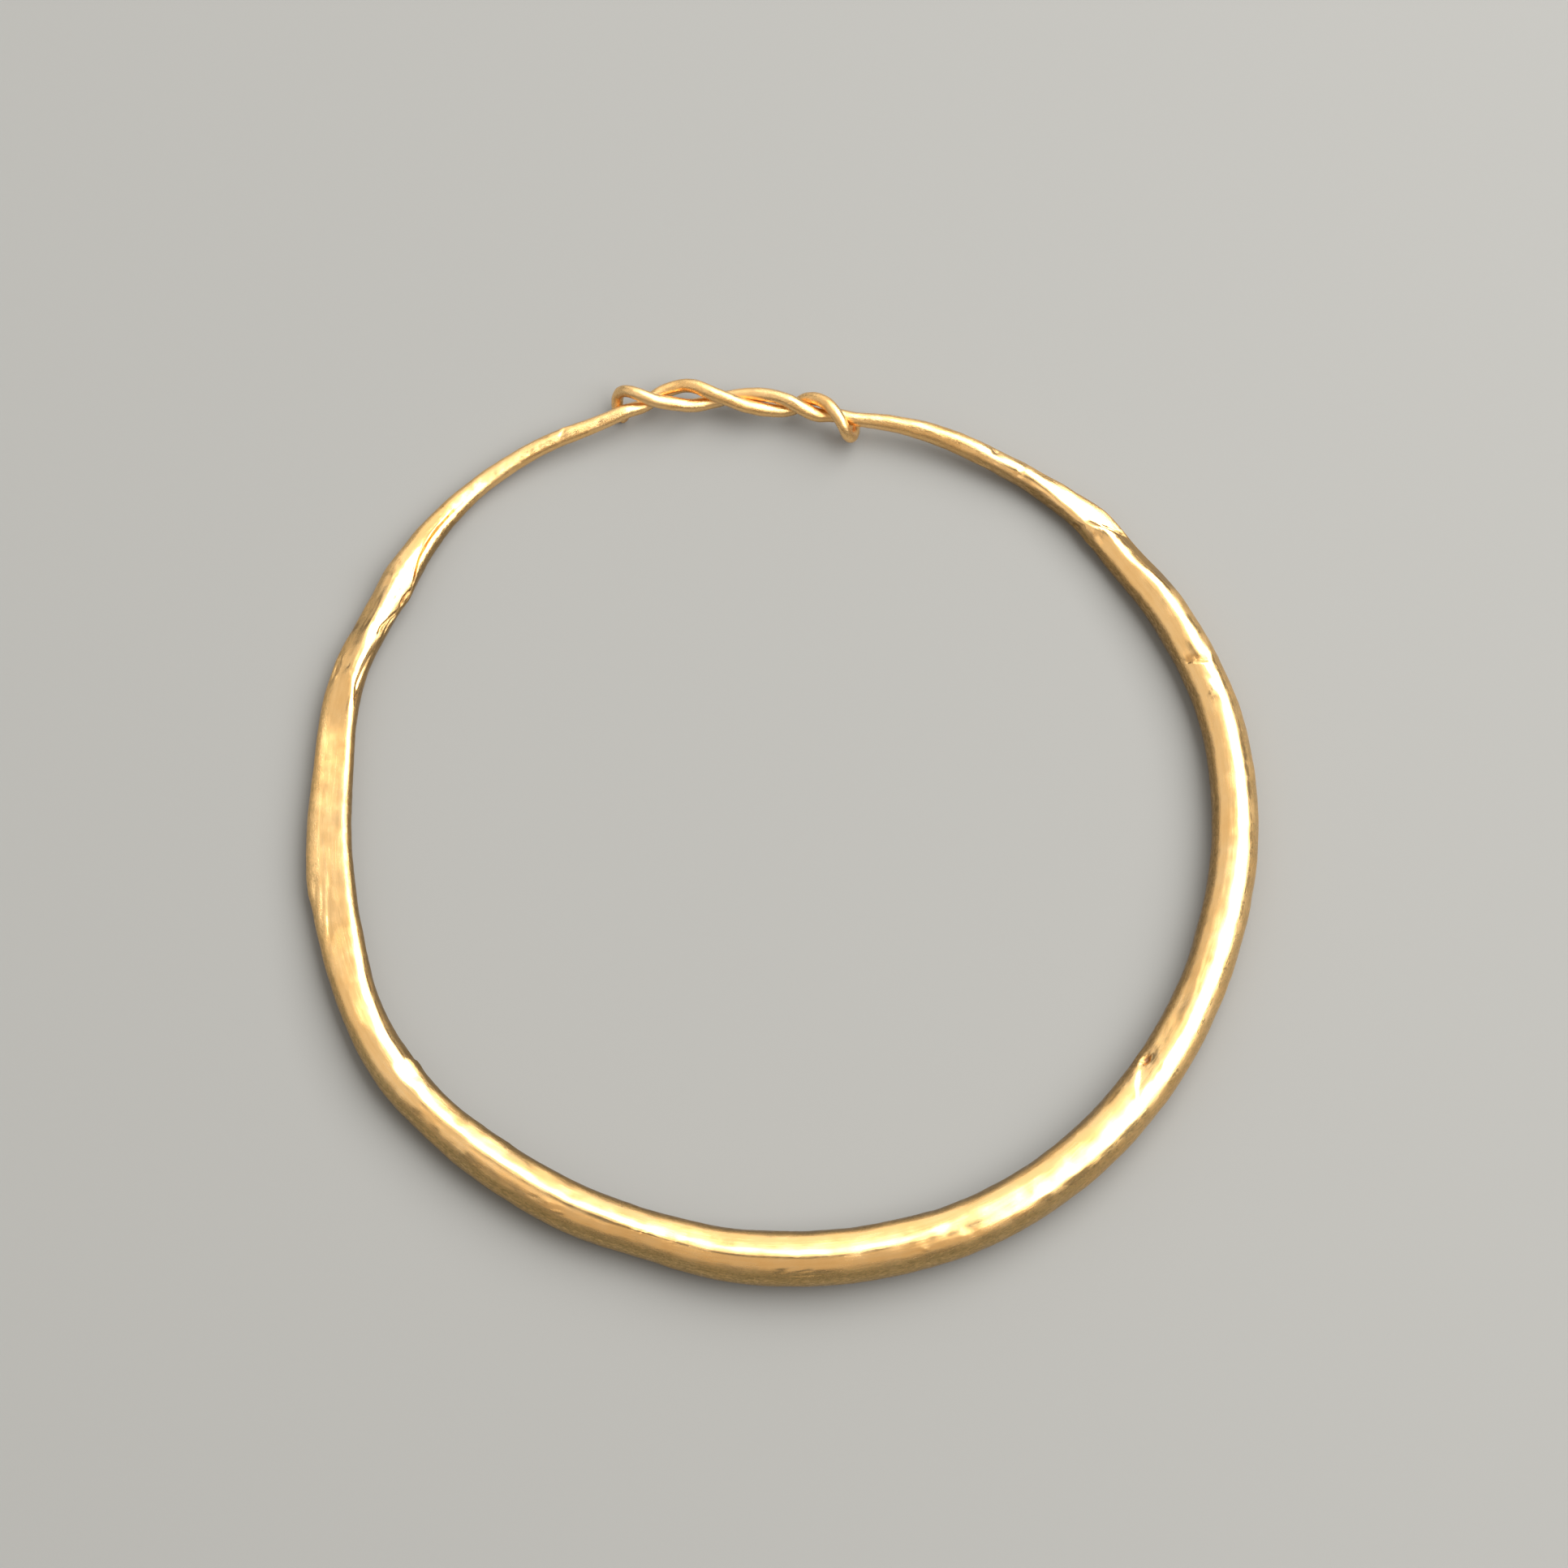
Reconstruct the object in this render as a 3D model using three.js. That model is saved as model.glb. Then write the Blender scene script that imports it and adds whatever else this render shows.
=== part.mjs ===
// Gold bracelet: one tapering rod bent into a ring. Its two drawn-out ends cross
// behind the wrist, twist round each other for a turn and a half, and each end
// hooks round the neck of the other. It lies flat: +Y is the twisted closure,
// -Y the thick front, +Z up. All sizes are in millimetres.
import * as THREE from 'three';

// Driving sizes
const HOOP_RADIUS = 37; // ring centre to the middle of the rod
const FRONT_WIDTH = 4.45; // rod at the front, its thickest place
const WIRE_DIAMETER = 1.2; // drawn-out ends
const TIP_SHARE = 0.82; // thickness of the wire at its tips, as a share of WIRE_DIAMETER
const STRAND_GAP = 0.08; // between two strands that lie against each other
const TIP_CHAMFER = 0.14; // worn edge of the cut wire ends

const LYING_TURN = 48; // turn from the closure, either way, where the rod lies down

// Fineness of the sweep
const SIDES = 18;
const STEP_SHARE = 0.42; // distance between sections, as a share of the local width
const ROWS_PER_WINDING = 4;
const SAMPLES_PER_ROW = 60;

// The free-formed rod, clockwise from the closure as seen from above: turn in
// degrees, radius as a share of HOOP_RADIUS, width as a share of FRONT_WIDTH,
// height as a share of the width.
const HOOP = [
  [14, 1.005, 0.31, 1],
  [20, 1.01, 0.38, 1],
  [26, 1.011, 0.42, 1],
  [33, 1.014, 0.46, 1],
  [40, 1.018, 0.55, 0.96],
  [44, 1.02, 0.67, 0.92],
  [50, 1.008, 0.71, 0.92],
  [57, 1.013, 0.76, 0.92],
  [66, 1.014, 0.79, 0.92],
  [75, 1.016, 0.825, 0.92],
  [85, 1.008, 0.86, 0.92],
  [95, 1, 0.87, 0.94],
  [110, 0.988, 0.86, 0.96],
  [125, 0.983, 0.93, 0.96],
  [140, 0.982, 0.945, 0.96],
  [155, 0.979, 0.97, 0.96],
  [170, 0.968, 1, 0.96],
  [180, 0.963, 1, 0.96],
  [188, 0.96, 0.96, 0.96],
  [197, 0.953, 0.88, 0.98],
  [208, 0.963, 0.92, 0.96],
  [220, 0.975, 0.88, 0.96],
  [229, 0.99, 0.81, 0.96],
  [237, 1.003, 0.82, 0.94],
  [246, 1.005, 0.765, 0.92],
  [257, 0.999, 0.83, 0.86],
  [264, 1.002, 0.9, 0.8],
  [270, 1.003, 0.84, 0.84],
  [278, 1.008, 0.75, 0.9],
  [285, 1.026, 0.7, 0.92],
  [292, 1.042, 0.67, 0.96],
  [299, 1.044, 0.66, 0.96],
  [304, 1.05, 0.7, 0.94],
  [310, 1.064, 0.54, 1],
  [315, 1.074, 0.445, 1],
  [322, 1.079, 0.36, 1],
  [330, 1.073, 0.33, 1],
  [337, 1.062, 0.3, 1],
];

// Middle line of the twist between the two necks: turn and radius share.
const TWIST_LINE = [
  [-17.4, 1.066],
  [-12.2, 1.066],
  [-8.2, 1.048],
  [-3.7, 1.031],
  [1, 1.019],
  [4, 1.012],
  [7, 1.004],
  [10, 0.999],
];

// How each strand runs about that line, from its neck to its tip: turn, angle
// of winding in degrees (0 outward from the ring, 90 on top) and reach, as a
// share of the distance that keeps two touching strands apart.
const LEFT_STRAND = [
  [-19.5, -90, 0],
  [-17.6, -80, 0.4],
  [-15.2, -32, 1.3],
  [-12, 4, 1.4],
  [-8.2, 92, 1],
  [-3.7, 176, 0.975],
  [0.8, 250, 1],
  [3, 352, 1.25],
  [5, 410, 1.5],
  [6.5, 450, 1.85],
  [8, 495, 2.15],
  [8.9, 535, 2.5],
  [9.5, 562, 2.5],
  [9.7, 600, 2.1],
  [9.5, 640, 2.05],
];
const RIGHT_STRAND = [
  [10.5, 560, 0],
  [6.8, 600, 0.2],
  [4.5, 532, 0.75],
  [0.9, 440, 1],
  [-3.7, 358, 0.975],
  [-8.2, 274, 1],
  [-12, 184, 1.4],
  [-14.8, 130, 1.15],
  [-16.4, 88, 1.5],
  [-17.8, 50, 2.05],
  [-18.9, 18, 2.6],
  [-19.6, -6, 2.8],
  [-20, -30, 2.5],
  [-20.2, -60, 2.2],
  [-19.7, -92, 2.1],
];

// Hammered flats along the rod: turn range, the way the flat faces in the
// section (0 outward, 90 up, 180 to the wrist) and depth as a share of the
// half-thickness that it takes away.
const FLATS = [
  { from: 38, to: 50, facing: 62, depth: 0.2 },
  { from: 48, to: 128, facing: 104, depth: 0.05 },
  { from: 246, to: 283, facing: 92, depth: 0.18 },
  { from: 283, to: 312, facing: 72, depth: 0.2 },
];
const FLAT_RUN_OUT = 5; // degrees of turn over which a flat fades in
const UNDERSIDE_ANGLE = 35; // either side of straight down, left without dents

// Dents and lumps: turn, facing, length along the rod and depth as shares of
// FRONT_WIDTH (a lump has a negative depth), spread round the section in degrees.
const DENTS = [
  { turn: 30, facing: 60, length: 0.29, spread: 50, depth: 0.027 },
  { turn: 35, facing: 120, length: 0.29, spread: 50, depth: 0.031 },
  { turn: 43, facing: 70, length: 0.54, spread: 50, depth: 0.067 },
  { turn: 49, facing: 140, length: 0.34, spread: 40, depth: 0.079 },
  { turn: 70, facing: 110, length: 0.25, spread: 40, depth: 0.031 },
  { turn: 124, facing: 128, length: 0.22, spread: 30, depth: 0.09 },
  { turn: 236.5, facing: 150, length: 0.25, spread: 35, depth: -0.036 },
  { turn: 262, facing: 60, length: 0.45, spread: 40, depth: 0.036 },
  { turn: 292, facing: 48, length: 0.54, spread: 45, depth: 0.056 },
  { turn: 299.5, facing: 30, length: 0.54, spread: 42, depth: 0.135 },
];

// Sizes that follow from the driving ones
const TOUCHING_REACH = (WIRE_DIAMETER + STRAND_GAP) / 2;
const HOOK_REACH = 2.14 * TOUCHING_REACH;
const CLOSURE_HEIGHT = HOOK_REACH + WIRE_DIAMETER / 2;
const NECK_TURN = HOOP[0][0];
const SIDE_ANGLE = 360 / SIDES;
const UNDERSIDE_SHARE = Math.cos(THREE.MathUtils.degToRad(SIDE_ANGLE / 2));

const UP = new THREE.Vector3(0, 0, 1);
const radians = THREE.MathUtils.degToRad;

// One row of the path: where the middle of the rod is and how thick it is.
function pathRow(point, width, height) {
  return { point, width, height };
}

function ringPoint(turn, radius, height) {
  return new THREE.Vector3(
    radius * Math.sin(radians(turn)),
    radius * Math.cos(radians(turn)),
    height,
  );
}

// The rod lies with its underside on one plane. Towards the closure it thins
// and rises to the middle height of the twist.
function middleHeight(turn, height) {
  const lying = (height / 2) * UNDERSIDE_SHARE;
  const fromClosure = Math.min(turn, 360 - turn);
  const lifted = 1 - THREE.MathUtils.smoothstep(fromClosure, NECK_TURN, LYING_TURN);
  return THREE.MathUtils.lerp(lying, CLOSURE_HEIGHT, lifted);
}

function hoopRows() {
  return HOOP.map(([turn, radiusShare, widthShare, heightShare]) => {
    const width = widthShare * FRONT_WIDTH;
    const height = width * heightShare;
    const middle = ringPoint(turn, radiusShare * HOOP_RADIUS, middleHeight(turn, height));
    return pathRow(middle, width, height);
  });
}

// Radius of the ring's middle line at any turn of the closure.
function twistRadius() {
  const [leftNeck, rightNeck] = [HOOP.at(-1), HOOP[0]];
  const rows = [[leftNeck[0] - 360, leftNeck[1]], ...TWIST_LINE, [rightNeck[0], rightNeck[1]]];
  const line = new THREE.SplineCurve(rows.map(([turn, share]) => new THREE.Vector2(turn, share)));
  const samples = line.getPoints(160);
  return (turn) => {
    const next = samples.findIndex((sample) => sample.x >= turn);
    if (next < 1) return samples.at(next).y * HOOP_RADIUS;
    const [a, b] = [samples[next - 1], samples[next]];
    const share = (turn - a.x) / (b.x - a.x);
    return THREE.MathUtils.lerp(a.y, b.y, share) * HOOP_RADIUS;
  };
}

function strandRows(windings) {
  const radiusAt = twistRadius();
  const course = new THREE.CatmullRomCurve3(
    windings.map(([turn, angle, reach]) => new THREE.Vector3(turn, angle, reach)),
    false,
    'catmullrom',
    0.5,
  );
  const count = (windings.length - 1) * ROWS_PER_WINDING;
  return Array.from({ length: count + 1 }, (_, i) => {
    const { x: turn, y: angle, z: reach } = course.getPoint(i / count);
    const offset = Math.max(reach, 0) * TOUCHING_REACH;
    const radius = radiusAt(turn) + offset * Math.cos(radians(angle));
    const height = CLOSURE_HEIGHT + offset * Math.sin(radians(angle));
    const drawnOut = THREE.MathUtils.smoothstep(i / count, 0.4, 0.8);
    const thickness = THREE.MathUtils.lerp(1, TIP_SHARE, drawnOut) * WIRE_DIAMETER;
    return pathRow(ringPoint(turn, radius, height), thickness, thickness);
  });
}

// Share of a flat or a dent that acts at a turn, or at an angle round the section.
function bell(distance, spread) {
  return Math.exp(-((distance / spread) ** 2));
}

function turnOf(point) {
  return (THREE.MathUtils.radToDeg(Math.atan2(point.x, point.y)) + 360) % 360;
}

function angleBetween(a, b) {
  return Math.abs(((a - b + 540) % 360) - 180);
}

function flatShare(flat, turn) {
  const rising = THREE.MathUtils.smoothstep(turn, flat.from - FLAT_RUN_OUT, flat.from);
  const falling = THREE.MathUtils.smoothstep(turn, flat.to, flat.to + FLAT_RUN_OUT);
  return rising * (1 - falling);
}

// Distance of the rod's skin from its middle, at an angle round the section.
function skin(row, turn, angle, onHoop) {
  const out = (row.width / 2) * Math.cos(radians(angle));
  const up = (row.height / 2) * Math.sin(radians(angle));
  let distance = Math.hypot(out, up);
  const direction = THREE.MathUtils.radToDeg(Math.atan2(up, out));
  const underside = angleBetween(direction, -90) < UNDERSIDE_ANGLE;
  if (!onHoop || underside) return distance;
  for (const flat of FLATS) {
    const towards = Math.cos(radians(angleBetween(direction, flat.facing)));
    const half = Math.hypot(
      (row.width / 2) * Math.cos(radians(flat.facing)),
      (row.height / 2) * Math.sin(radians(flat.facing)),
    );
    const limit = half * (1 - flat.depth * flatShare(flat, turn));
    if (towards > 0) distance = Math.min(distance, limit / towards);
  }
  for (const dent of DENTS) {
    const along = radians(angleBetween(turn, dent.turn)) * HOOP_RADIUS;
    const round = angleBetween(direction, dent.facing);
    const share = bell(along, dent.length * FRONT_WIDTH) * bell(round, dent.spread);
    distance -= dent.depth * FRONT_WIDTH * share;
  }
  return distance;
}

// Sections along the whole rod, from the tip of the right strand's hook, round
// the ring, to the tip of the left strand's hook.
function sections(rows, hoopFirst, hoopLast) {
  const curve = new THREE.CatmullRomCurve3(rows.map((row) => row.point), false, 'centripetal');
  const last = rows.length - 1;
  const rowAt = (place) => {
    const before = Math.min(Math.floor(place), last - 1);
    const share = THREE.MathUtils.smoothstep(place - before, 0, 1);
    const point = curve.getPoint(place / last);
    const width = THREE.MathUtils.lerp(rows[before].width, rows[before + 1].width, share);
    const height = THREE.MathUtils.lerp(rows[before].height, rows[before + 1].height, share);
    const onHoop = place >= hoopFirst && place <= hoopLast;
    if (onHoop) point.setZ(middleHeight(turnOf(point), height));
    return { point, width, height, onHoop };
  };
  const count = last * SAMPLES_PER_ROW;
  const fine = Array.from({ length: count + 1 }, (_, i) => rowAt(i / SAMPLES_PER_ROW));
  const kept = [fine[0]];
  let walked = 0;
  for (let i = 1; i < fine.length; i += 1) {
    walked += fine[i].point.distanceTo(fine[i - 1].point);
    if (walked < STEP_SHARE * fine[i].width && i < fine.length - 1) continue;
    kept.push(fine[i]);
    walked = 0;
  }
  kept.forEach((section, i) => {
    const ahead = kept[Math.min(i + 1, kept.length - 1)].point;
    const behind = kept[Math.max(i - 1, 0)].point;
    section.tangent = ahead.clone().sub(behind).normalize();
  });
  return kept;
}

// On the ring every section stands upright. Along the strands the upright is
// carried on from the neck without twisting.
function standUp(kept) {
  const firstHoop = kept.findIndex((section) => section.onHoop);
  const lastHoop = kept.findLastIndex((section) => section.onHoop);
  const carry = (from, to, step) => {
    for (let i = from; i !== to; i += step) {
      const carried = kept[i - step].up.clone();
      carried.addScaledVector(kept[i].tangent, -carried.dot(kept[i].tangent));
      kept[i].up = carried.normalize();
    }
  };
  for (let i = firstHoop; i <= lastHoop; i += 1) {
    kept[i].tangent.setZ(0).normalize();
    kept[i].up = UP.clone();
  }
  carry(lastHoop + 1, kept.length, 1);
  carry(firstHoop - 1, -1, -1);
  for (const section of kept) {
    section.out = new THREE.Vector3().crossVectors(section.up, section.tangent);
  }
}

// A ring of points for each section, with a worn edge and a middle point at
// both cut ends.
function sweptRod(kept) {
  const positions = [];
  const addPoint = (point) => positions.push(point.x, point.y, point.z);
  const addRing = (section, share, shift) => {
    const turn = turnOf(section.point);
    for (let side = 0; side < SIDES; side += 1) {
      const angle = -90 + (side + 0.5) * SIDE_ANGLE;
      const out = (section.width / 2) * Math.cos(radians(angle));
      const up = (section.height / 2) * Math.sin(radians(angle));
      const scale = (share * skin(section, turn, angle, section.onHoop)) / Math.hypot(out, up);
      const point = section.point.clone();
      point.addScaledVector(section.out, out * scale);
      point.addScaledVector(section.up, up * scale);
      point.addScaledVector(section.tangent, shift);
      addPoint(point);
    }
  };
  const [first, last] = [kept[0], kept.at(-1)];
  const wornShare = 1 - TIP_CHAMFER / ((TIP_SHARE * WIRE_DIAMETER) / 2);
  addRing(first, wornShare, -TIP_CHAMFER);
  kept.forEach((section) => addRing(section, 1, 0));
  addRing(last, wornShare, TIP_CHAMFER);
  addPoint(first.point.clone().addScaledVector(first.tangent, -TIP_CHAMFER));
  addPoint(last.point.clone().addScaledVector(last.tangent, TIP_CHAMFER));

  const rings = kept.length + 2;
  const index = [];
  for (let ring = 0; ring < rings - 1; ring += 1) {
    for (let side = 0; side < SIDES; side += 1) {
      const next = (side + 1) % SIDES;
      const [a, b] = [ring * SIDES + side, ring * SIDES + next];
      const [c, d] = [a + SIDES, b + SIDES];
      index.push(a, b, d, a, d, c);
    }
  }
  const [firstMiddle, lastMiddle] = [rings * SIDES, rings * SIDES + 1];
  for (let side = 0; side < SIDES; side += 1) {
    const next = (side + 1) % SIDES;
    const lastRing = (rings - 1) * SIDES;
    index.push(firstMiddle, next, side);
    index.push(lastMiddle, lastRing + side, lastRing + next);
  }
  const geometry = new THREE.BufferGeometry();
  geometry.setAttribute('position', new THREE.Float32BufferAttribute(positions, 3));
  geometry.setIndex(index);
  return geometry;
}

// The bracelet stands with the middle of its underside's box at the origin.
function centredOnItsUnderside(geometry) {
  geometry.computeBoundingBox();
  const middle = geometry.boundingBox.getCenter(new THREE.Vector3());
  geometry.translate(-middle.x, -middle.y, -geometry.boundingBox.min.z);
  geometry.computeVertexNormals();
  return geometry;
}

function braceletGeometry() {
  const rightTipToNeck = strandRows(RIGHT_STRAND).reverse();
  const ring = hoopRows();
  const leftNeckToTip = strandRows(LEFT_STRAND);
  const rows = [...rightTipToNeck, ...ring, ...leftNeckToTip];
  const hoopFirst = rightTipToNeck.length;
  const kept = sections(rows, hoopFirst, hoopFirst + ring.length - 1);
  standUp(kept);
  return centredOnItsUnderside(sweptRod(kept));
}

const gold = new THREE.MeshStandardMaterial({ color: 0xd9a441, roughness: 0.28, metalness: 1 });
const bracelet = new THREE.Mesh(braceletGeometry(), gold);
bracelet.name = 'bracelet';

const model = new THREE.Group();
model.name = 'gold_bracelet';
model.add(bracelet);

export default model;
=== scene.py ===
import math

import bpy
import numpy as np
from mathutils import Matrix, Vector


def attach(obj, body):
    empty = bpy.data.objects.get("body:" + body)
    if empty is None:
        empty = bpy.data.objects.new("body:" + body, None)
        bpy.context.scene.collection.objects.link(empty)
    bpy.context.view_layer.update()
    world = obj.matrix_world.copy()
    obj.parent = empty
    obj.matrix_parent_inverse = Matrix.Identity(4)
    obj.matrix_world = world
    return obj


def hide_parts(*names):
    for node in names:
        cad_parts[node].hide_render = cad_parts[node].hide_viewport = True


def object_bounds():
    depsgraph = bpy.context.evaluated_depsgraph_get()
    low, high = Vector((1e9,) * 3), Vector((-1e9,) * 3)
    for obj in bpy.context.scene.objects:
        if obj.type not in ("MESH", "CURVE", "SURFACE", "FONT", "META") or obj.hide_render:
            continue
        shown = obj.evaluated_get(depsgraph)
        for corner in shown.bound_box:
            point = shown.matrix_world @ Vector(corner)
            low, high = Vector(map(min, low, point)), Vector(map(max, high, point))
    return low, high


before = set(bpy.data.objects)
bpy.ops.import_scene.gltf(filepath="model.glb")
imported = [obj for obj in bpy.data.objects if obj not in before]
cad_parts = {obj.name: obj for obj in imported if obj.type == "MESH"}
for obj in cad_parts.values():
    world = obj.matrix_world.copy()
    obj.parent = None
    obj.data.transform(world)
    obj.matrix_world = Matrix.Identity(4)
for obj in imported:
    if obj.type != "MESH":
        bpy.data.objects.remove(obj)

cad_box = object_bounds()
MM = 0.001

# The view
# The camera looks steeply down on the bracelet as it lies, from in front of its
# thick side, so that the nearly round hoop shows as a slightly flat ring.
CAMERA_ELEVATION = math.radians(72)
CAMERA_DISTANCE = 357.8 * MM
CAMERA_LENS = 100
CAMERA_SENSOR = 36
NEAREST_SEEN = 10 * MM
AIM = Vector((0.124, 2.929, 2.0)) * MM

back = Vector((0, -math.cos(CAMERA_ELEVATION), math.sin(CAMERA_ELEVATION)))
bpy.ops.object.select_all(action="DESELECT")
bpy.ops.object.camera_add(
    location=AIM + back * CAMERA_DISTANCE,
    rotation=(math.pi / 2 - CAMERA_ELEVATION, 0, 0),
)
camera = bpy.context.object
camera.name = "camera"
camera.data.lens = CAMERA_LENS
camera.data.sensor_width = CAMERA_SENSOR
camera.data.clip_start = NEAREST_SEEN
bpy.context.scene.camera = camera

# The rod
# One tapering rod of gold, rolled and hammered, drawn out to wire at both ends
# and bent round until the wires could be twisted together. It starts as the
# smoothed surface of the solid.
SMOOTHING = 2
QUAD_ANGLE = math.radians(60)
MERGE_DISTANCE = 0.001 * MM


def only(piece):
    bpy.ops.object.select_all(action="DESELECT")
    piece.select_set(True)
    bpy.context.view_layer.objects.active = piece


def apply(piece, modifier):
    only(piece)
    bpy.ops.object.modifier_apply(modifier=modifier.name)


only(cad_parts["bracelet"])
bpy.ops.object.duplicate()
rod = bpy.context.object
rod.name = "hammered_rod"
rod.parent = None
rod.data.name = "hammered_rod"
rod.data.materials.clear()
bpy.ops.object.mode_set(mode="EDIT")
bpy.ops.mesh.select_all(action="SELECT")
bpy.ops.mesh.remove_doubles(threshold=MERGE_DISTANCE)
bpy.ops.mesh.tris_convert_to_quads(face_threshold=QUAD_ANGLE, shape_threshold=QUAD_ANGLE)
bpy.ops.object.mode_set(mode="OBJECT")
smooth = rod.modifiers.new("smooth", "SUBSURF")
smooth.levels = smooth.render_levels = SMOOTHING
apply(rod, smooth)

# Places on the rod
# A smith's mark is placed by its turn round the hoop, clockwise from the
# closure, and by the way it faces in the rod's section: 0 outward, 90 up and
# 180 towards the wrist.
RING_CENTRE = Vector((0.0, -1.08, 0)) * MM
TURN_STEP = 1.5
FIRST_TURN, LAST_TURN = 14.0, 337.0


def points(piece):
    flat = np.empty(len(piece.data.vertices) * 3)
    piece.data.vertices.foreach_get("co", flat)
    return flat.reshape(-1, 3)


def polar(places):
    x, y = (places[:, :2] - np.array(RING_CENTRE[:2])).T
    return np.degrees(np.arctan2(x, y)) % 360, np.hypot(x, y)


def measure_rod(piece):
    """Middle radius, middle height, half-width and half-height by turn."""
    places = points(piece)
    turn, radius = polar(places)
    rows = []
    for at in np.arange(FIRST_TURN, LAST_TURN, TURN_STEP):
        near = np.abs(turn - at) < TURN_STEP
        low, high = radius[near].min(), radius[near].max()
        floor, top = places[near, 2].min(), places[near, 2].max()
        rows.append([at, (low + high) / 2, (floor + top) / 2, (high - low) / 2, (top - floor) / 2])
    return np.array(rows).T


section = measure_rod(rod)


class Places:
    """Where each vertex is on the rod."""

    def __init__(self, piece):
        self.at = points(piece)
        self.turn, radius = polar(self.at)
        middle, height, wide, tall = (
            np.interp(self.turn, section[0], row, period=360) for row in section[1:]
        )
        self.out = (radius - middle) / MM
        self.up = (self.at[:, 2] - height) / MM
        self.wide, self.tall = wide / MM, tall / MM
        self.middle = middle / MM
        self.facing = np.degrees(np.arctan2(self.up / self.tall, self.out / self.wide))
        self.facing = np.where(self.facing < -90, self.facing + 360, self.facing)
        self.on_hoop = (self.turn > FIRST_TURN) & (self.turn < LAST_TURN)

    def from_mark(self, turn, facing, slant=0):
        """Millimetres along and across a mark that is turned by its slant."""
        along = np.radians(self.turn - turn) * self.middle
        around = np.radians(self.facing - facing) * (self.wide + self.tall) / 2
        lean = math.radians(slant)
        return (
            along * math.cos(lean) + around * math.sin(lean),
            around * math.cos(lean) - along * math.sin(lean),
        )


def bell(distance, spread):
    return np.exp(-np.square(distance / spread))


def ease(value, low, high):
    share = np.clip((value - low) / (high - low), 0, 1)
    return share * share * (3 - 2 * share)


# A move that is smaller than this, in millimetres, is left out.
LEAST_MOVE = 0.001


def press(piece, name, depth, direction="NORMAL"):
    """Moves each vertex inward by its own depth in millimetres, outward where it is negative."""
    for side, amount in (("in", depth), ("out", -depth)):
        moved = np.flatnonzero(amount > LEAST_MOVE)
        if not len(moved):
            continue
        deepest = float(amount.max())
        group = piece.vertex_groups.new(name=f"{name}_{side}")
        for index in moved:
            group.add([int(index)], float(amount[index]) / deepest, "REPLACE")
        tool = piece.modifiers.new(group.name, "DISPLACE")
        tool.vertex_group = group.name
        tool.direction = direction
        tool.mid_level = 0
        tool.strength = (-deepest if side == "in" else deepest) * MM
        apply(piece, tool)
        piece.vertex_groups.clear()


# Finer mesh where the marks are small: the turns and the facings that it covers.
FINE_PATCHES = [
    (43, 51, 0, 170),
    (66.3, 73, 50, 160),
    (122, 129.6, 70, 165),
    (161, 163.6, 50, 75),
    (175.5, 182, 35, 60),
    (193, 200, 68, 94),
    (207.5, 214, 46, 72),
    (235, 238, 80, 185),
    (289.2, 292.5, 0, 165),
    (297, 305, 0, 190),
    (305, 316, 60, 190),
]
FINEST_PATCHES = [(45, 48.4, 25, 100), (304, 316, 92, 165)]


def refine(piece, patches):
    places = Places(piece)
    wanted = np.zeros(len(places.turn), bool)
    for first, last, low, high in patches:
        in_turn = (places.turn > first) & (places.turn < last)
        wanted |= in_turn & (places.facing > low) & (places.facing < high)
    only(piece)
    bpy.ops.object.mode_set(mode="EDIT")
    bpy.ops.mesh.select_mode(type="VERT")
    bpy.ops.mesh.select_all(action="DESELECT")
    bpy.ops.object.mode_set(mode="OBJECT")
    piece.data.vertices.foreach_set("select", wanted)
    bpy.ops.object.mode_set(mode="EDIT")
    bpy.ops.mesh.select_mode(type="FACE")
    bpy.ops.mesh.subdivide(number_cuts=1)
    bpy.ops.object.mode_set(mode="OBJECT")


refine(rod, FINE_PATCHES)
refine(rod, FINEST_PATCHES)

# Forged flats
# Long flats left by the hammer: the turns they start and end at, the way they
# face and the share of the half-thickness that they take away. A flat may also
# be rounded at its edges, sink along the rod, and stop at a slanted line.
def flat(first, last, facing, share, soft=0.03, sink=0.0, slant=0.0, run_in=6.0, run_out=6.0):
    return first, last, facing, share, soft, sink, slant, run_in, run_out


FLATS = [
    flat(40, 45, 74, 0.16, soft=0.08, sink=0.04, slant=0.05, run_in=5, run_out=1.3),
    flat(47, 60, 112, 0.08, soft=0.06, run_in=2, run_out=4),
    flat(56, 120, 122, 0.03, soft=0.05),
    flat(116, 126.2, 116, 0.13, run_in=8, run_out=1.4, slant=0.078, soft=0.02),
    flat(168, 226, 52, 0.05, soft=0.1, run_in=12, run_out=12),
    flat(166, 196, 112, 0.08, soft=0.08, run_in=12, run_out=10),
    flat(200, 231, 120, 0.1, soft=0.08, run_in=10, run_out=3),
    flat(234.8, 236.6, 114, 0.13, soft=0.06, run_in=1.6, run_out=0.9),
    flat(262, 284, 84, 0.36, soft=0.12, run_in=16),
    flat(286, 298, 62, 0.16, soft=0.08),
    flat(298, 308, 106, 0.18, soft=0.06, run_in=3, run_out=5),
    flat(310, 318, 98, 0.06, soft=0.12),
]
# The dull bevels that are left where the outer side was struck; the gold darkens them with painted
# shade.
BEVELS = [
    flat(47.4, 53, 42, 0.16, soft=0.03, slant=0.04, run_in=1, run_out=5),
    flat(297, 301, 36, 0.2, soft=0.015, slant=-0.02, run_in=2.4, run_out=3),
]
# Smoothing has drawn the skin in by this share of the half-width.
DRAWN_IN = 0.017
# The hollow that the facet is filed across is filled first: its turn, facing,
# half-length, half-width and depth.
FILLED = (43, 70, 2.4, 1.2, -0.32)
# A flat is left out where less than this share of it is present, and it acts
# in full from the second share on.
FAINTEST = 0.01
FULL_FROM = 0.2
# The most that a slanted skin is pressed for a flat's depth is one over this.
STEEPEST = 0.4
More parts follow.
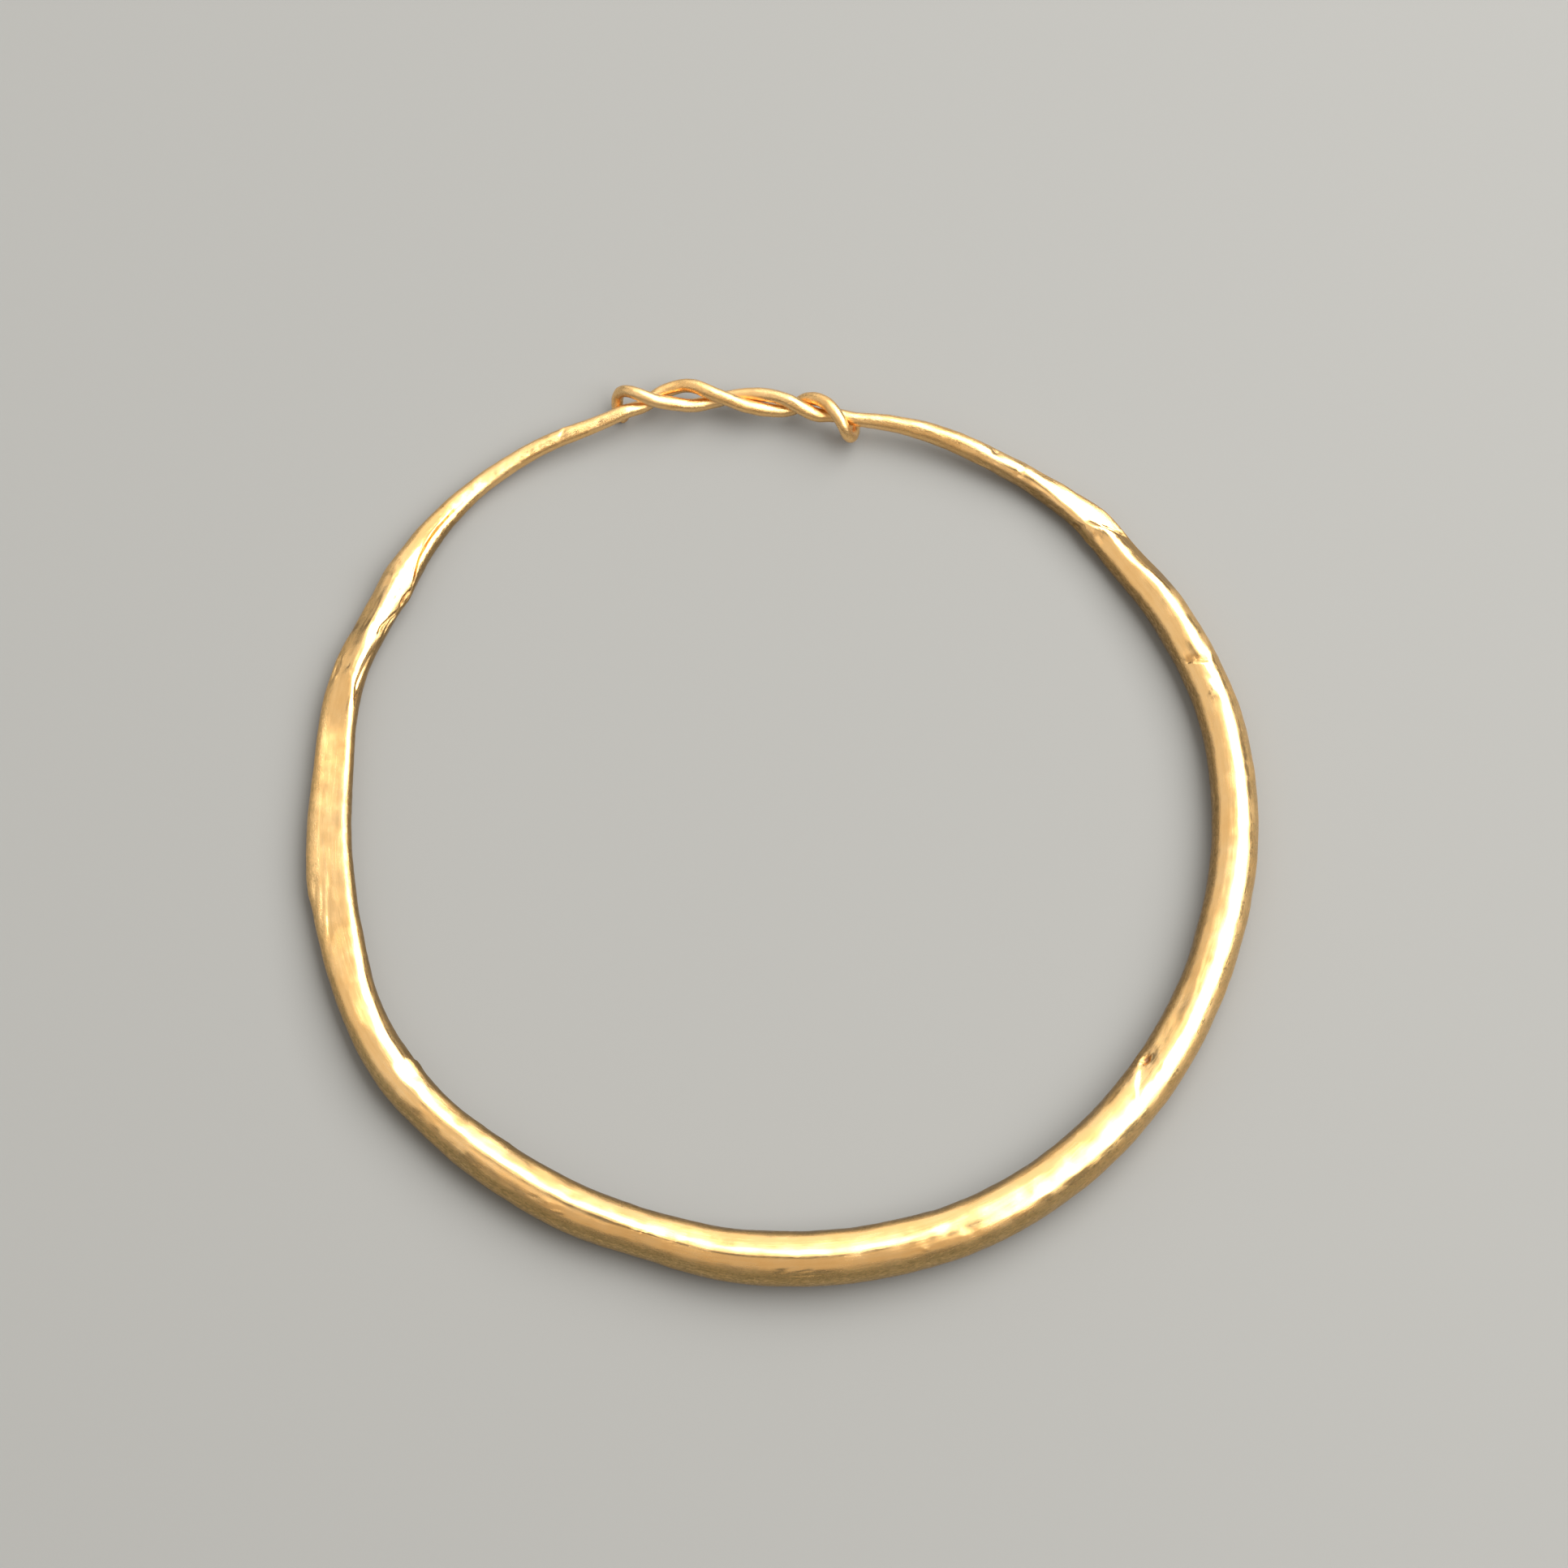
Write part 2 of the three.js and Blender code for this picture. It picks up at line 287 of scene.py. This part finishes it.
# How strongly, and how often, the steps at the flats' edges are worn down.
POLISH = 0.5
POLISH_PASSES = 6


def flatten(places, flats):
    depth = np.zeros(len(places.turn))
    for first, last, facing, share, soft, sink, slant, run_in, run_out in flats:
        lean = math.radians(facing)
        reach = places.out * math.cos(lean) + places.up * math.sin(lean)
        whole = np.hypot(places.wide * math.cos(lean), places.tall * math.sin(lean))
        turn = places.turn + slant * (places.facing - facing)
        present = ease(turn, first - run_in, first) * (1 - ease(turn, last, last + run_out))
        along = np.radians(turn - first) * places.middle
        excess = reach - whole * (1 - share * present) + sink * along * present
        excess = soft * np.logaddexp(0, excess / soft)
        towards = np.clip(reach / whole, STEEPEST, 1)
        taken = excess * ease(present, 0, FULL_FROM) / towards
        depth = np.maximum(depth, np.where(present > FAINTEST, taken, 0))
    return depth


def polish(piece, wanted):
    """Wears the steps off the wanted vertices."""
    only(piece)
    bpy.ops.object.mode_set(mode="EDIT")
    bpy.ops.mesh.select_mode(type="VERT")
    bpy.ops.mesh.select_all(action="DESELECT")
    bpy.ops.object.mode_set(mode="OBJECT")
    piece.data.vertices.foreach_set("select", wanted)
    bpy.ops.object.mode_set(mode="EDIT")
    bpy.ops.mesh.vertices_smooth(factor=POLISH, repeat=POLISH_PASSES)
    bpy.ops.object.mode_set(mode="OBJECT")


turn, facing, length, width, depth = FILLED
along, across = Places(rod).from_mark(turn, facing)
press(rod, "filled", depth * bell(along, length) * bell(across, width))
places = Places(rod)
bevelled = flatten(places, BEVELS)
flattened = np.maximum(flatten(places, FLATS), bevelled)
press(rod, "forged_flats", flattened - DRAWN_IN * places.wide)
polish(rod, places.on_hoop)

# Dents and lumps
# Each mark: turn, facing, half-length along, half-width across, slant, depth.
# A negative depth is a raised lump or lip.
DENTS = [
    (52.2, 118, 0.9, 0.5, 20, 0.05),
    (42.5, 158, 0.4, 0.3, 0, 0.2),
    (45, 172, 1.1, 0.22, 0, -0.1),
    (26.9, 172, 0.6, 0.16, 0, -0.07),
    (23.5, 110, 0.5, 0.3, 0, 0.04),
    (28.6, 62, 0.5, 0.3, 60, 0.1),
    (37.5, 132, 1.2, 0.4, 0, 0.05),
    (69.9, 112, 0.9, 0.5, 0, -0.04),
    (123.8, 131, 0.52, 0.42, 4, 0.46),
    (123.5, 124, 0.16, 0.14, 0, -0.14),
    (124.1, 134, 0.14, 0.12, 0, -0.12),
    (123.4, 139, 0.12, 0.12, 0, -0.1),
    (123.5, 160, 0.9, 0.3, 0, -0.1),
    (236.2, 168, 0.8, 0.3, 0, -0.1),
    (262.9, 12, 1.3, 0.5, 0, -0.08),
    (260.3, 12, 0.8, 0.5, 0, 0.06),
    (282.5, 80, 1.9, 0.9, 0, 0.07),
    (290.7, 28, 0.7, 0.22, 0, 0.16),
    (291.6, 84, 0.12, 0.12, 0, 0.05),
    (288.6, 122, 0.8, 0.3, 0, -0.08),
    (299.2, -6, 1.6, 0.7, 0, -0.16),
    (300.5, 160, 0.7, 0.16, 0, -0.08),
    (303, 172, 0.9, 0.2, 0, -0.14),
    (330, 50, 0.4, 0.16, 30, 0.06),
    (332.2, 80, 0.5, 0.16, -40, 0.08),
    (332.6, 50, 0.4, 0.2, 0, -0.06),
]


def dented(places):
    depth = np.zeros(len(places.turn))
    for turn, facing, length, width, slant, deep in DENTS:
        along, across = places.from_mark(turn, facing, slant)
        depth += deep * bell(along, length) * bell(across, width) * places.on_hoop
    return depth


# Earth in the pit, and painted shade elsewhere, gather in a dent that is deeper than this, in
# millimetres.
DENT_HOLDS = 0.12
DENT_FILL = 3
dents = dented(Places(rod))
hollow = DENT_FILL * np.clip(dents - DENT_HOLDS, 0, None)
press(rod, "dents", dents)

# Folds, lips and the open seam
# Each stroke follows a line of turns and facings: its depth, and its width to
# the left and to the right of that line. A negative depth is a raised edge.
STROKES = [
    # the folded end of the white facet
    ([(44.4, 92), (46.0, 72), (47.2, 50), (48.0, 20)], 0.13, 0.1, 0.05),
    ([(45.5, 62), (46.6, 48), (47.6, 24)], 0.1, 0.08, 0.05),
    ([(42.2, 168), (42.9, 140), (43.6, 122)], 0.1, 0.25, 0.12),
    # kinks of the thin right shoulder
    ([(32.6, 20), (32.3, 60), (32.4, 100), (32.1, 150)], 0.1, 0.12, 0.2),
    ([(28.9, 30), (28.2, 60), (27.9, 85)], 0.08, 0.1, 0.2),
    # the creased patch
    ([(67.9, 66), (67.4, 88), (66.9, 112), (66.7, 146)], 0.19, 1.1, 0.1),
    ([(70.9, 78), (71.5, 100), (72.0, 118), (72.2, 146)], -0.07, 0.7, 0.14),
    ([(72.7, 84), (73.0, 116), (73.2, 150)], 0.08, 0.2, 0.9),
    ([(73.2, 134), (75, 128), (78, 126)], 0.04, 0.2, 0.2),
    # lips of the pit
    ([(123.0, 122), (123.8, 115), (124.6, 118), (125.0, 128)], -0.05, 0.12, 0.12),
    ([(122.7, 136), (123.6, 147), (124.7, 144), (125.2, 134)], -0.12, 0.14, 0.16),
    ([(125.7, 132), (127.0, 116), (128.2, 100), (129.4, 86)], -0.03, 0.12, 0.12),
    # the step beyond the lump
    ([(236.6, 176), (237.4, 150), (238.0, 132)], 0.18, 0.35, 0.08),
    # drawn wrinkles beside the wide flat
    ([(244.4, 52), (246.6, 62)], 0.05, 0.1, 0.1),
    ([(253, 40), (257, 58), (261.5, 74), (264, 92)], 0.05, 0.25, 0.1),
    ([(256, 34), (260, 50), (263, 62)], 0.04, 0.2, 0.08),
    ([(259.5, 26), (262, 38), (264, 40)], 0.07, 0.2, 0.08),
    # the crumpled inner edge
    ([(288, 136), (289.5, 128), (292, 138), (295.5, 146)], 0.12, 0.08, 0.16),
    ([(296.5, 138), (298, 132), (299.8, 146), (301, 158)], 0.14, 0.08, 0.14),
    ([(297, 156), (299, 150), (301, 164)], 0.12, 0.07, 0.1),
    ([(289.3, 52), (290, 40), (291.4, 38), (292.6, 46)], -0.05, 0.1, 0.1),
    ([(288.9, 20), (290.2, 40), (291.6, 42), (293, 28)], 0.12, 0.1, 0.3),
    # the torn lip and the seam of the rolled sheet
    ([(301.6, 156), (302.8, 150), (304.2, 158)], 0.3, 0.08, 0.12),
    ([(304.2, 158), (306, 138), (308, 120), (310, 110), (313, 107), (317.5, 110)], 0.22, 0.08, 0.06),
    ([(305, 138), (307, 122), (309, 109), (311.5, 99), (315.5, 99)], -0.04, 0.12, 0.1),
    ([(311, 104), (313.5, 100), (315.5, 101)], 0.04, 0.06, 0.06),
    # nicks and scratches along the front and the left
    ([(162.9, 68), (161.8, 56)], -0.05, 0.09, 0.09),
    ([(176.2, 54), (178.6, 46)], 0.05, 0.09, 0.09),
    ([(179.6, 52), (181.4, 38)], 0.07, 0.07, 0.12),
    ([(193.5, 90), (194.3, 76)], -0.07, 0.08, 0.08),
    ([(197.7, 86), (198.5, 72)], -0.07, 0.07, 0.07),
    ([(198.7, 84), (199.4, 74)], -0.06, 0.07, 0.07),
    ([(208.2, 62), (210.2, 50)], -0.05, 0.08, 0.08),
    ([(212, 68), (213.2, 56)], 0.05, 0.08, 0.08),
    ([(160, 86), (170, 84), (182, 82), (200, 80)], -0.03, 0.12, 0.08),
    ([(214, 48), (218, 42), (221, 44), (224, 54)], -0.04, 0.08, 0.08),
    ([(219, 168), (221, 158), (222.6, 142)], -0.06, 0.08, 0.08),
    ([(174, 44), (179, 40), (181.5, 34)], 0.06, 0.1, 0.2),
    ([(176, 62), (181, 52)], 0.03, 0.06, 0.12),
]
# How far a stroke reaches in millimetres, and past its ends in degrees of turn.
STROKE_REACH = 1.6
STROKE_MARGIN = 3
FARAWAY = 99.0
# How squarely its sides fall away, how fast its ends taper and what is left there.
STROKE_EDGE = 1.7
STROKE_TAPER = 5
STROKE_END = 0.08


def stroked(places):
    depth = np.zeros(len(places.turn))
    girth = (places.wide + places.tall) / 2
    for line, deep, left, right in STROKES:
        turns = [turn for turn, facing in line]
        first, last = min(turns) - STROKE_MARGIN, max(turns) + STROKE_MARGIN
        near = np.flatnonzero((places.turn > first) & (places.turn < last))
        along = np.radians(places.turn[near]) * places.middle[near]
        around = np.radians(places.facing[near]) * girth[near]
        nearest = np.full(len(near), FARAWAY)
        amount = np.zeros(len(near))
        for leg, ((turn_a, facing_a), (turn_b, facing_b)) in enumerate(zip(line, line[1:])):
            start_x = math.radians(turn_a) * places.middle[near]
            start_y = math.radians(facing_a) * girth[near]
            run_x = math.radians(turn_b - turn_a) * places.middle[near]
            run_y = math.radians(facing_b - facing_a) * girth[near]
            length = np.hypot(run_x, run_y)
            share = ((along - start_x) * run_x + (around - start_y) * run_y) / length**2
            held = np.clip(share, 0, 1)
            gap_x, gap_y = along - start_x - held * run_x, around - start_y - held * run_y
            gap = np.hypot(gap_x, gap_y)
            side = run_x * gap_y - run_y * gap_x
            width = np.where(side > 0, left, right)
            whole = (leg + held) / (len(line) - 1)
            taper = np.minimum(1, STROKE_TAPER * np.minimum(whole, 1 - whole) + STROKE_END)
            here = deep * taper * np.exp(-np.power(gap / width, STROKE_EDGE))
            amount = np.where(gap < nearest, here, amount)
            nearest = np.minimum(gap, nearest)
        depth[near] += np.where(nearest < STROKE_REACH, amount, 0)
    return depth * places.on_hoop


# Painted shade gathers in a fold that is deeper than this, in millimetres.
FOLD_HOLDS = 0.1
FOLD_FILL = 5
folds = stroked(Places(rod))
hollow = hollow + FOLD_FILL * np.clip(folds - FOLD_HOLDS, 0, None)
press(rod, "folds", folds)

# Hammering
# The smith's hammer and file leave the whole rod uneven: broad swells, shallow
# dimples, smaller swells and fine marks, each with its size and its strength.
HAMMERING = [
    ("swells", "CLOUDS", 2.6, 0.1),
    ("dimples", "VORONOI", 1.7, 0.035),
    ("small_swells", "CLOUDS", 0.8, 0.035),
    ("file_marks", "CLOUDS", 0.3, 0.02),
]
for name, kind, size, strength in HAMMERING:
    unevenness = bpy.data.textures.new(name, kind)
    unevenness.noise_scale = size * MM
    hammer = rod.modifiers.new(name, "DISPLACE")
    hammer.texture = unevenness
    hammer.texture_coords = "LOCAL"
    hammer.strength = strength * MM
    hammer.mid_level = 0.5
    apply(rod, hammer)

# The worn underside stays on the plane that it lies on, and no side stands out
# past the solid, less this many millimetres.
INSIDE = 0.002
for axis, letter in enumerate("XYZ"):
    place = points(rod)[:, axis] / MM
    low, high = (corner[axis] / MM for corner in cad_box)
    past = np.clip(place - high + INSIDE, 0, None) - np.clip(low + INSIDE - place, 0, None)
    press(rod, "past_side", past, letter)
only(rod)
bpy.ops.object.shade_smooth()

# The gold
# Rich yellow gold, soft enough to be scratched all over: fine scratches run
# along the rod, the flanks are duller and darker, partly with tarnish and partly
# with painted shade, and the pit holds earth while the dents, seam and folds are
# darkened with painted shade.
# The pattern runs down both sides from the closure, this many millimetres for
# each radian, and a slight shear keeps the two sides from matching.
RUN_RADIUS = 37
SHEAR = 0.04
# The flanks carry the most painted shade along the thick front, and less from the
# first of these degrees away from its middle to the second.
SHADED_FRONT_TURN = 195
SHADED_FRONT_FADE = (40, 75)
# Depths over which a bevel turns dull and takes its painted shade, and
# half-widths over which the rod becomes wire, in millimetres.
BEVEL_DEPTHS = (0.01, 0.04)
WIRE_HALF_WIDTHS = (0.75, 1.15)


def record_places(piece):
    """Keeps where the metal is on the rod, in millimetres, how worn it is there, and where shade is
    painted on it.
    """
    places = Places(piece)
    along = np.radians(180 - np.abs(places.turn - 180)) * RUN_RADIUS
    across = places.out + SHEAR * places.at[:, 0] / MM
    layer = piece.data.attributes.new("on_rod", "FLOAT_VECTOR", "POINT")
    layer.data.foreach_set("vector", np.stack([along, across, places.up], 1).ravel())
    values = {
        "outward": np.cos(np.radians(places.facing)) * places.on_hoop,
        "hollow": np.clip(hollow, 0, 1),
        "bevel": ease(bevelled, *BEVEL_DEPTHS),
        # painted shade: the flanks darken towards the thick front
        "front": 1 - ease(np.abs(places.turn - SHADED_FRONT_TURN), *SHADED_FRONT_FADE),
        "wire": np.where(places.on_hoop, 1 - ease(places.wide, *WIRE_HALF_WIDTHS), 1),
    }
    for name, amounts in values.items():
        layer = piece.data.attributes.new(name, "FLOAT", "POINT")
        layer.data.foreach_set("value", amounts)


for old in list(rod.data.uv_layers):
    rod.data.uv_layers.remove(old)
record_places(rod)


class Value:
    """A shader value. Python's operators on it add Math nodes."""

    def __init__(self, tree, socket):
        self.tree, self.socket = tree, socket

    def math(self, operation, *terms):
        node = self.tree.nodes.new("ShaderNodeMath")
        node.operation = operation
        for slot, term in zip(node.inputs, terms):
            if isinstance(term, Value):
                self.tree.links.new(term.socket, slot)
            else:
                slot.default_value = term
        return Value(self.tree, node.outputs[0])

    def __add__(self, other):
        return self.math("ADD", self, other)

    __radd__ = __add__

    def __mul__(self, other):
        return self.math("MULTIPLY", self, other)

    __rmul__ = __mul__

    def __sub__(self, other):
        return self.math("SUBTRACT", self, other)

    def __rsub__(self, other):
        return self.math("SUBTRACT", other, self)

    def __abs__(self):
        return self.math("ABSOLUTE", self)


class Finish:
    """A material's node tree, with one way to add any node."""

    def __init__(self, name):
        self.material = bpy.data.materials.new(name)
        self.material.use_nodes = True
        self.tree = self.material.node_tree
        self.tree.nodes.clear()

    def add(self, kind, settings=None, inputs=None, output=0):
        node = self.tree.nodes.new(kind)
        for key, value in (settings or {}).items():
            if key == "stops":
                self.set_stops(node.color_ramp, value)
            else:
                setattr(node, key, value)
        for key, value in (inputs or {}).items():
            if isinstance(value, Value):
                self.tree.links.new(value.socket, node.inputs[key])
            else:
                node.inputs[key].default_value = value
        return Value(self.tree, node.outputs[output]) if node.outputs else node

    @staticmethod
    def set_stops(ramp, stops):
        while len(ramp.elements) < len(stops):
            ramp.elements.new(1)
        for element, (position, colour) in zip(ramp.elements, stops):
            element.position = position
            element.color = (*colour, 1)

    def noise(self, where, scale, detail=3, roughness=0.6):
        return self.add(
            "ShaderNodeTexNoise",
            {"noise_dimensions": "3D"},
            {"Vector": where, "Scale": scale, "Detail": detail, "Roughness": roughness},
        )

    def step(self, value, low, high):
        return self.add(
            "ShaderNodeMapRange",
            {"interpolation_type": "SMOOTHSTEP"},
            {"Value": value, "From Min": low, "From Max": high},
        )

    def blend(self, first, second, share):
        node = self.tree.nodes.new("ShaderNodeMix")
        node.data_type = "RGBA"
        self.tree.links.new(share.socket, node.inputs["Factor"])
        self.tree.links.new(first.socket, node.inputs[6])
        node.inputs[7].default_value = second
        return Value(self.tree, node.outputs[2])

    def stretch(self, where, scale, turn=0):
        return self.add(
            "ShaderNodeMapping",
            {"vector_type": "POINT"},
            {"Vector": where, "Scale": scale, "Rotation": (0, 0, turn)},
        )


# Patterns in space, in repeats for each metre
CLOUDS = 260
PATCHES = 420
PITS = 3400
GRAIN = 5200
# Patterns on the rod, in repeats for each millimetre along, across and up
STREAKS = (0.3, 4, 4)
FINE_STREAKS = (0.7, 13, 13)
SPECKLE = (2.4, 7, 7)

gold = Finish("worn_gold")


def recorded(name):
    return gold.add("ShaderNodeAttribute", {"attribute_name": name}, output=2)


on_rod = gold.add("ShaderNodeAttribute", {"attribute_name": "on_rod"}, output=1)
outward = recorded("outward")
hollow_here = recorded("hollow")
bevel = recorded("bevel")
front = recorded("front")
wire = recorded("wire")
in_space = gold.add("ShaderNodeTexCoord", output=3)

cloudy = gold.noise(in_space, CLOUDS, 3)
streaks = gold.noise(gold.stretch(on_rod, STREAKS), 1.0, 5, 0.7)
fine_streaks = gold.noise(gold.stretch(on_rod, FINE_STREAKS), 1.0, 4, 0.7)
grain = gold.noise(in_space, GRAIN, 3, 0.65)
pits = gold.noise(in_space, PITS, 2, 0.5)
speckle = gold.step(gold.noise(gold.stretch(on_rod, SPECKLE), 1.0, 4, 0.75), 0.36, 0.64)


def scratches(turn, scale, thin):
    line = gold.noise(gold.stretch(on_rod, scale, turn), 1.0, 1, 0.3)
    return 1 - gold.step(abs(line - 0.5), 0.0, thin)


long_scratches = scratches(turn=0.1, scale=(0.14, 4.4, 4.4), thin=0.01)
slanted_scratches = scratches(turn=-0.3, scale=(0.16, 3.6, 3.6), thin=0.008)
dull_patches = gold.step(gold.noise(in_space, PATCHES, 2), 0.42, 0.62)
outer_flank = gold.step(outward + 0.16 * (streaks - 0.5), 0.5, 0.82)
inner_flank = gold.step(-1 * outward + 0.2 * (streaks - 0.5) + 0.3 * (cloudy - 0.5), 0.63, 0.88)
flanks = outer_flank + inner_flank * (1 - wire) + bevel * (1 - outer_flank) + 0.3 * wire * speckle
dirt_and_shade = gold.step(hollow_here + 0.4 * (pits - 0.5), 0.25, 0.7)

GOLD_TONES = [
    (0.25, (0.86, 0.49, 0.17)),
    (0.5, (0.94, 0.59, 0.25)),
    (0.75, (0.98, 0.67, 0.34)),
]
TARNISH_AND_SHADE = (0.36, 0.25, 0.1, 1)
DARK_PAINTED_SHADE = (0.14, 0.08, 0.025, 1)
PAINTED_HOLLOW_SHADE = (0.5, 0.25, 0.07, 1)
EARTH_AND_SHADE = (0.17, 0.07, 0.02, 1)
tone = gold.add(
    "ShaderNodeValToRGB",
    {"stops": GOLD_TONES},
    {"Fac": 0.6 * cloudy + 0.4 * streaks},
)
# Tarnish on the flanks, partly real tarnish and partly painted shade, heavier along the front, where
# the extra is painted shade.
tone = gold.blend(tone, TARNISH_AND_SHADE, flanks * (0.15 + 0.45 * speckle + 0.35 * front))
# Painted shade: the inner flank and the bevels are darkened.
tone = gold.blend(tone, DARK_PAINTED_SHADE, inner_flank * (0.55 + 0.2 * speckle) * (1 - wire))
tone = gold.blend(tone, DARK_PAINTED_SHADE, 0.5 * bevel)
# Painted shade: the dents and folds are browned by their depth.
tone = gold.blend(tone, PAINTED_HOLLOW_SHADE, 0.6 * gold.step(hollow_here + 0.1 * (pits - 0.5), 0.0, 0.3))
# Brown earth in the pit, and painted shade in the seam and folds, by depth; the metal is also
# rougher and less metallic there.
tone = gold.blend(tone, EARTH_AND_SHADE, dirt_and_shade * 0.9)
roughness = 0.08 + 0.1 * streaks + 0.08 * fine_streaks + 0.1 * dull_patches
roughness = roughness + flanks * (0.08 + 0.14 * speckle) + 0.2 * dirt_and_shade + 0.04 * wire
relief = 0.2 * streaks + (0.1 + 0.5 * wire) * fine_streaks
relief = relief + (0.1 + 0.3 * flanks + 0.3 * wire) * grain + 0.3 * flanks * speckle
relief = relief - 0.09 * long_scratches * (0.4 + flanks) - 0.06 * slanted_scratches * dull_patches
RELIEF_STRENGTH = 0.6
RELIEF_DEPTH = 0.04 * MM
bumped = gold.add(
    "ShaderNodeBump",
    {},
    {"Strength": RELIEF_STRENGTH, "Distance": RELIEF_DEPTH, "Height": relief},
)
shader = gold.add(
    "ShaderNodeBsdfPrincipled",
    {},
    {"Base Color": tone, "Metallic": 1 - 0.7 * dirt_and_shade, "Roughness": roughness, "Normal": bumped},
)
gold.add("ShaderNodeOutputMaterial", {}, {"Surface": shader})
rod.data.materials.append(gold.material)

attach(rod, "root")
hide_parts("bracelet")

# The floor and the light
# A plain pale surface, lit by large soft panels: the strongest stands to the
# right and a little behind, a broad one to the left, one behind, a dim warm one
# in front and a small one overhead.
FLOOR_SIZE = 4.0
FLOOR_GREY = 0.26
FLOOR_BLUE_SHARE = 0.97
FLOOR_COLOUR = (FLOOR_GREY, FLOOR_GREY, FLOOR_GREY * FLOOR_BLUE_SHARE, 1)
FLOOR_ROUGHNESS = 0.9
FLOOR_SHINE = 0.1

bpy.ops.object.select_all(action="DESELECT")
bpy.ops.mesh.primitive_plane_add(size=FLOOR_SIZE)
floor = bpy.context.object
floor.name = "floor"
pale = Finish("pale_floor")
surface = pale.add(
    "ShaderNodeBsdfPrincipled",
    {},
    {
        "Base Color": FLOOR_COLOUR,
        "Roughness": FLOOR_ROUGHNESS,
        "Specular IOR Level": FLOOR_SHINE,
    },
)
pale.add("ShaderNodeOutputMaterial", {}, {"Surface": surface})
floor.data.materials.append(pale.material)

# Each panel: name, direction towards it, distance, width, height, brightness, colour.
PANELS = [
    ("right_panel", (0.8, 0.33, 1.14), 0.7, 1.2, 0.68, 5.2, (1.0, 0.99, 0.97)),
    ("left_panel", (-0.8, 0.1, 0.75), 0.75, 1.0, 0.9, 0.66, (1.0, 0.94, 0.86)),
    ("back_panel", (-0.1, 0.85, 0.55), 0.8, 0.8, 0.9, 1.1, (1.0, 0.97, 0.9)),
    ("front_panel", (0, -0.75, 0.85), 0.8, 1.2, 0.75, 0.46, (1.0, 0.82, 0.58)),
    ("overhead_panel", (0.1, 0.3, 1), 0.9, 0.6, 0.5, 1.05, (1.0, 0.96, 0.9)),
]
for name, towards, distance, width, height, brightness, colour in PANELS:
    direction = Vector(towards).normalized()
    bpy.ops.object.light_add(type="AREA", location=direction * distance)
    panel = bpy.context.object
    panel.name = name
    panel.rotation_euler = direction.to_track_quat("Z", "Y").to_euler()
    panel.data.shape = "RECTANGLE"
    panel.data.size, panel.data.size_y = width, height
    panel.data.color = colour
    panel.data.energy = brightness * math.pi * width * height

SKY_COLOUR = (0.9, 0.95, 1.0, 1)
SKY_BRIGHTNESS = 0.2
world = bpy.data.worlds.new("studio")
world.use_nodes = True
sky = world.node_tree.nodes["Background"]
sky.inputs["Color"].default_value = SKY_COLOUR
sky.inputs["Strength"].default_value = SKY_BRIGHTNESS
bpy.context.scene.world = world
bpy.context.scene.view_settings.view_transform = "Standard"
